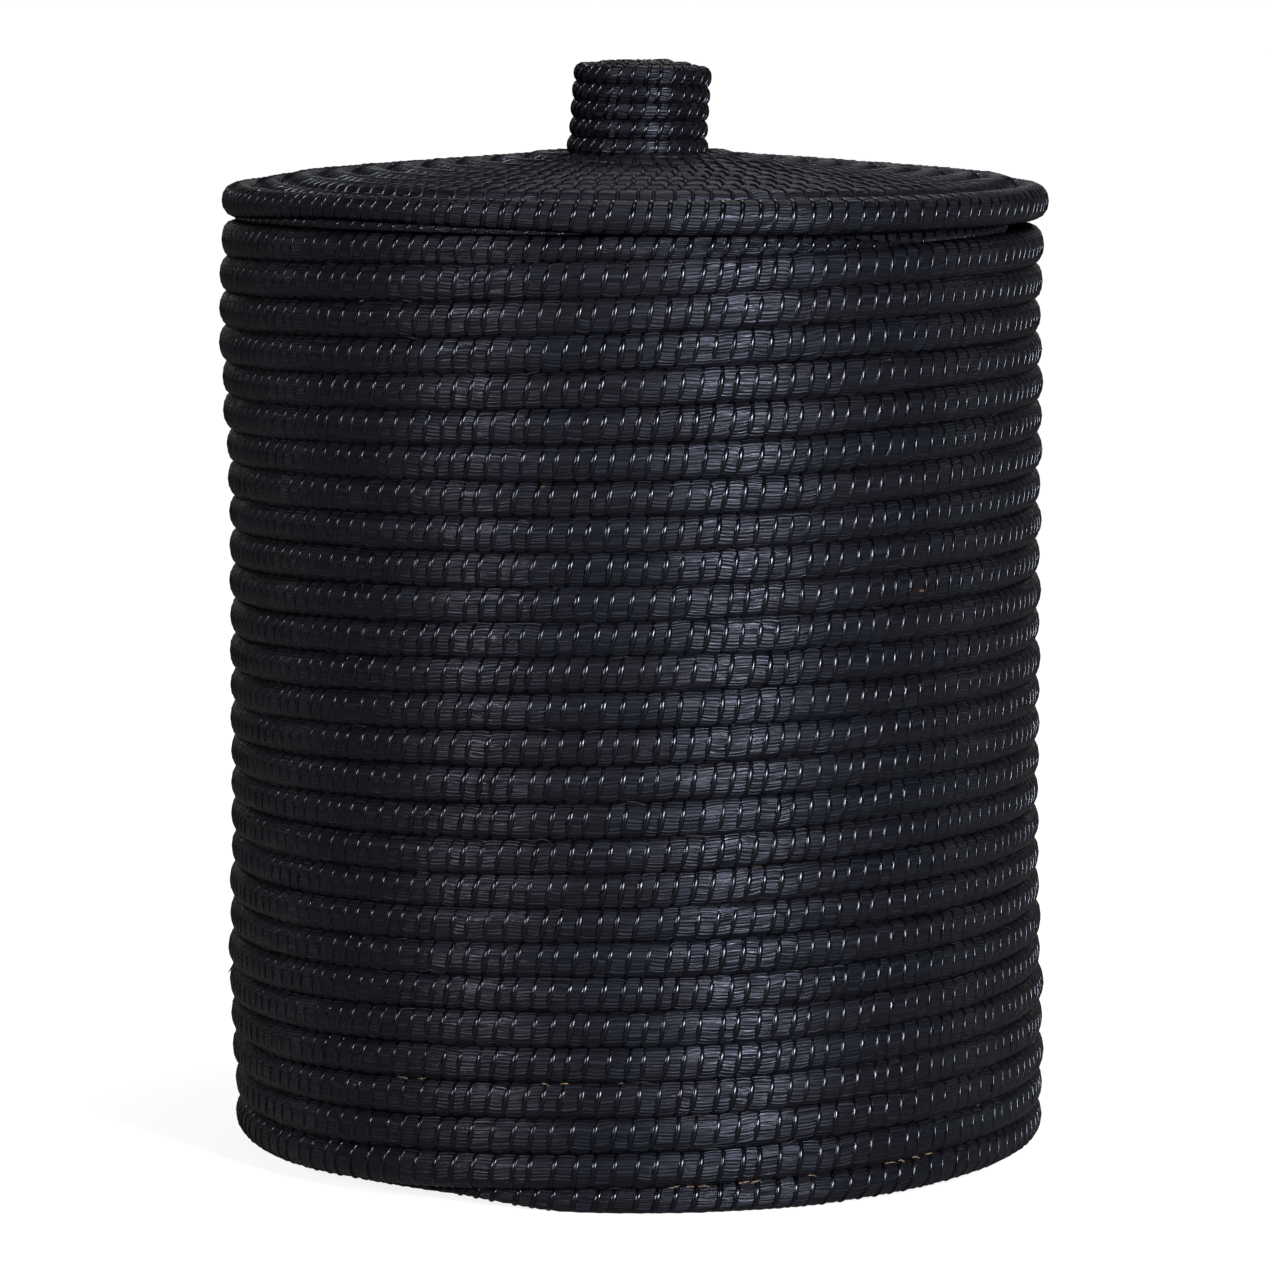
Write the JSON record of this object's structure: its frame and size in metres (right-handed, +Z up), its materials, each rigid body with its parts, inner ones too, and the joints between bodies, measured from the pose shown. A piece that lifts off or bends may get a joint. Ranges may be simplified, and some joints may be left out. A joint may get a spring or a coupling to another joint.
{
  "type": "lidded coiled basket",
  "caption": "Tall round storage basket of coiled, black-dyed grass, with a drop-in domed lid that lifts off by a coiled knob",
  "frame": {"origin": "middle of the underside of the base, on the surface the basket stands on", "axes": "+Z up along the basket's axis, -Y towards the pictured front, +X to the right seen from the front"},
  "size_m": [0.412, 0.412, 0.5465],
  "materials": {
    "black_grass": "dyed grass stems, satin sheen along the stems",
    "worn_black_grass": "dyed grass stems, duller, handled less",
    "lid_black_grass": "dyed grass stems, satin sheen along the stems",
    "knob_black_grass": "dyed grass stems, slightly polished by hands"
  },
  "bodies": {
    "basket": {"base_start_knot": "worn_black_grass", "base_coil": "worn_black_grass", "lower_wall_coil": "black_grass", "upper_wall_coil": "black_grass"},
    "lid": {"lid_locating_coil": "worn_black_grass", "lid_rim_coil": "lid_black_grass", "lid_top_coil": "lid_black_grass", "knob_wall_coil": "knob_black_grass", "knob_cap_coil": "knob_black_grass", "knob_start_knot": "knob_black_grass"}
  },
  "joints": [
    {"name": "lid_lift", "type": "slide", "parent": "basket", "child": "lid", "axis": [0, 0, 1], "range_m": [0, 0.3]}
  ]
}
